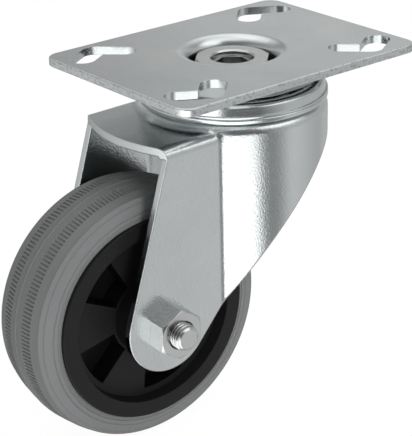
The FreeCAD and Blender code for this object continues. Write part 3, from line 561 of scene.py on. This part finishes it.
class CutAxle(bpy.types.Operator):
    """Cuts the thread that shows at the end of the axle bolt"""

    bl_idname = "castor.cut_axle"
    bl_label = "Cut axle thread"

    def execute(self, context):
        sizes = context.scene.castor_axle
        built = bmesh.new()
        built.from_mesh(frame["nodes"]["axle_bolt"].data)
        bmesh.ops.remove_doubles(built, verts=built.verts, dist=WELD)
        cut = bmesh.ops.bisect_plane(
            built, geom=[*built.verts, *built.edges, *built.faces], dist=WELD,
            plane_co=AXLE_CENTRE - AXLE_LINE * sizes.start, plane_no=-AXLE_LINE,
            clear_outer=True)
        rim = [item for item in cut["geom_cut"] if isinstance(item, bmesh.types.BMEdge)]
        bmesh.ops.contextual_create(built, geom=rim)
        self.thread(built, sizes)
        mesh = as_mesh("threaded_axle", built)
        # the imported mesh's own normals don't fit the thread
        normals = mesh.attributes.get("custom_normal")
        if normals:
            mesh.attributes.remove(normals)
        look = context.scene.castor_steel
        zinc = bolt_zinc("zinc_thread", look)
        # painted shade: the thread's colour darkens towards its roots, as far as the groove depth
        # says
        groove = add(zinc.node_tree, "ShaderNodeAttribute", {"attribute_name": "groove"})
        colour_where(zinc.node_tree, groove.outputs["Fac"], look.shadow)
        finished("threaded_axle", mesh, "fork_frame", "axle_bolt", zinc)
        return {"FINISHED"}

    def thread(self, built, sizes):
        """Adds a closed threaded stub, which starts 1 mm inside the axle.

        Its vertices hold how deep they lie in the groove, which is 0 on the bevelled end; the
        finish darkens them by it as painted shade.
        """
        start, end = sizes.start - 1 * MM, sizes.end
        around, rows = 64, round((end - start) / (sizes.pitch / 10))
        bevel = sizes.radius - sizes.tip
        place = axle_frame()
        groove = built.verts.layers.float.new("groove")
        rings = []
        for number in range(rows + 1):
            along = start + (end - start) * number / rows
            ring = []
            for step in range(around):
                phase = (along / sizes.pitch - step / around) % 1
                # 0 along the flat root of the thread and 1 along its flat crest
                tooth = min(1, max(0, 1.7 * abs(2 * phase - 1) - 0.4))
                radius = min(sizes.radius - sizes.depth * (1 - tooth), sizes.tip + end - along)
                angle = 2 * math.pi * step / around
                ring.append(built.verts.new(place @ Vector(
                    (radius * math.cos(angle), -along, radius * math.sin(angle)))))
                ring[-1][groove] = (1 - tooth) * (end - along > bevel - 0.1 * MM)
            rings.append(ring)
        for near, far in zip(rings, rings[1:]):
            for step in range(around):
                after = (step + 1) % around
                built.faces.new((near[step], near[after], far[after], far[step]))
        built.faces.new(rings[0])
        built.faces.new(rings[-1])


class SetStage(bpy.types.Operator):
    """Sets the floor, the world, the soft lamps and the camera"""

    bl_idname = "castor.set_stage"
    bl_label = "Set stage"

    def execute(self, context):
        look = context.scene.castor_stage
        scene = context.scene
        scene.view_settings.view_transform = "Standard"
        self.floor()
        self.world(scene)
        for name, place, target, size, power in LAMPS:
            self.lamp(name, place, target, size, power * look.lamp)
        self.camera(scene, look)
        return {"FINISHED"}

    def floor(self):
        """White paper on which the castor casts a faint shade; shiny surfaces look past it into the
        studio.
        """
        bpy.ops.mesh.primitive_plane_add(size=8, location=(0, 0, FLOOR_LEVEL))
        floor = bpy.context.object
        floor.name = "floor"
        made = bpy.data.materials.new("floor_paper")
        tree = bare_tree(made)
        light = add(tree, "ShaderNodeLightPath")
        share = add(tree, "ShaderNodeMath", {"operation": "MULTIPLY"}, _0=self.shown(tree, light),
                    _1=PAPER_SHARE)
        paint = add(tree, "ShaderNodeBsdfDiffuse", Color=grey(PAPER_GREY))
        white = add(tree, "ShaderNodeEmission", Color=grey(1), Strength=PAPER_LEVEL)
        paper = add(tree, "ShaderNodeMixShader", _0=share.outputs[0], _1=paint.outputs[0],
                    _2=white.outputs[0])
        clear = add(tree, "ShaderNodeBsdfTransparent")
        mix = add(tree, "ShaderNodeMixShader", _0=light.outputs["Is Glossy Ray"],
                  _1=paper.outputs[0], _2=clear.outputs[0])
        add(tree, "ShaderNodeOutputMaterial", Surface=mix.outputs[0])
        floor.data.materials.append(made)

    def shown(self, tree, light):
        """1 for what the camera sees, straight or through glass."""
        return add(tree, "ShaderNodeMath", {"operation": "MAXIMUM"},
                   _0=light.outputs["Is Camera Ray"],
                   _1=light.outputs["Is Transmission Ray"]).outputs[0]

    def world(self, scene):
        """Plain white behind the castor, soft light on it, and the studio in its shine."""
        scene.world = bpy.data.worlds.new("studio")
        tree = bare_tree(scene.world)
        light = add(tree, "ShaderNodeLightPath")
        lit = add(tree, "ShaderNodeMix", {"data_type": "RGBA"}, _0=light.outputs["Is Glossy Ray"],
                  _6=grey(STUDIO_SOFT), _7=self.studio(tree))
        colours = add(tree, "ShaderNodeMix", {"data_type": "RGBA"}, _0=self.shown(tree, light),
                      _6=lit.outputs[2], _7=grey(1))
        back = add(tree, "ShaderNodeBackground", Color=colours.outputs[2], Strength=1.0)
        add(tree, "ShaderNodeOutputWorld", Surface=back.outputs[0])

    def studio(self, tree):
        """The studio's rows, each blended into the next with height."""
        where = add(tree, "ShaderNodeTexCoord").outputs["Generated"]
        parts = add(tree, "ShaderNodeSeparateXYZ", Vector=where)
        bearing = add(tree, "ShaderNodeMath", {"operation": "ARCTAN2"},
                      _0=parts.outputs["Y"], _1=parts.outputs["X"])
        around = add(tree, "ShaderNodeMapRange", Value=bearing.outputs[0], _1=-math.pi, _2=math.pi)
        rows = []
        for height, stops in STUDIO_ROWS:
            ramp = add(tree, "ShaderNodeValToRGB", Fac=around.outputs[0])
            while len(ramp.color_ramp.elements) < len(stops):
                ramp.color_ramp.elements.new(0.5)
            for element, (angle, level) in zip(ramp.color_ramp.elements, stops):
                element.position = (angle + 180) / 360
                element.color = grey(level)
            rows.append((math.sin(math.radians(height)), ramp.outputs[0]))
        seen = rows[0][1]
        for (low, _), (high, row) in zip(rows, rows[1:]):
            share = add(tree, "ShaderNodeMapRange", {"interpolation_type": "SMOOTHSTEP"},
                        Value=parts.outputs["Z"], _1=low, _2=high)
            seen = add(tree, "ShaderNodeMix", {"data_type": "RGBA"}, _0=share.outputs[0],
                       _6=seen, _7=row).outputs[2]
        return seen

    def lamp(self, name, place, target, size, power):
        """A square lamp that isn't seen in shiny surfaces."""
        data = bpy.data.lights.new(name, "AREA")
        data.size = size
        data.energy = power
        lamp = placed(name, data)
        lamp.location = place
        lamp.visible_glossy = False
        lamp.rotation_euler = (Vector(target) - Vector(place)).to_track_quat("-Z", "Y").to_euler()

    def camera(self, scene, look):
        """The camera as the perspective fit of the photo has it."""
        turn, dip, lean = map(math.radians, (CAMERA_TURN, CAMERA_DIP, CAMERA_LEAN))
        flat = Vector((-math.sin(turn), math.cos(turn), 0))
        right = Vector((math.cos(turn), math.sin(turn), 0))
        ahead = flat * math.cos(dip) - Vector((0, 0, math.sin(dip)))
        above = right.cross(ahead)
        side = right * math.cos(lean) + above * math.sin(lean)
        top = above * math.cos(lean) - right * math.sin(lean)
        data = bpy.data.cameras.new("camera")
        data.lens = look.lens
        data.sensor_width = 36
        data.shift_x, data.shift_y = CAMERA_SHIFT
        data.clip_start, data.clip_end = 0.01, 20
        camera = placed("camera", data)
        aim = Matrix((side, top, -ahead)).transposed().to_4x4()
        camera.matrix_world = Matrix.Translation(CAMERA_PLACE) @ aim
        scene.camera = camera


class CastorPanel(bpy.types.Panel):
    """Lists the castor's steps"""

    bl_idname = "VIEW3D_PT_castor"
    bl_label = "Swivel castor"
    bl_space_type = "VIEW_3D"
    bl_region_type = "UI"
    bl_category = "Castor"

    def draw(self, context):
        for (name, kind), step in zip(GROUPS.items(), STEPS):
            box = self.layout.box()
            for value in kind.__annotations__:
                box.prop(getattr(context.scene, name), value)
            box.operator(step.bl_idname)


GROUPS = {"castor_steel": CastorSteel, "castor_plastic": CastorPlastic,
          "castor_tyre": CastorTyre, "castor_axle": CastorAxle, "castor_stage": CastorStage}
STEPS = (DressSteel, DressPlastic, MouldTyre, CutAxle, SetStage)


def register():
    for kind in (*GROUPS.values(), *STEPS, CastorPanel):
        bpy.utils.register_class(kind)
    for name, kind in GROUPS.items():
        setattr(bpy.types.Scene, name, PointerProperty(type=kind))


def unregister():
    for name in GROUPS:
        delattr(bpy.types.Scene, name)
    for kind in (CastorPanel, *reversed(STEPS), *GROUPS.values()):
        bpy.utils.unregister_class(kind)


def main():
    register()
    bpy.ops.castor.dress_steel()
    bpy.ops.castor.dress_plastic()
    bpy.ops.castor.mould_tyre()
    bpy.ops.castor.cut_axle()
    bpy.ops.castor.set_stage()


if __name__ == "__main__":
    main()
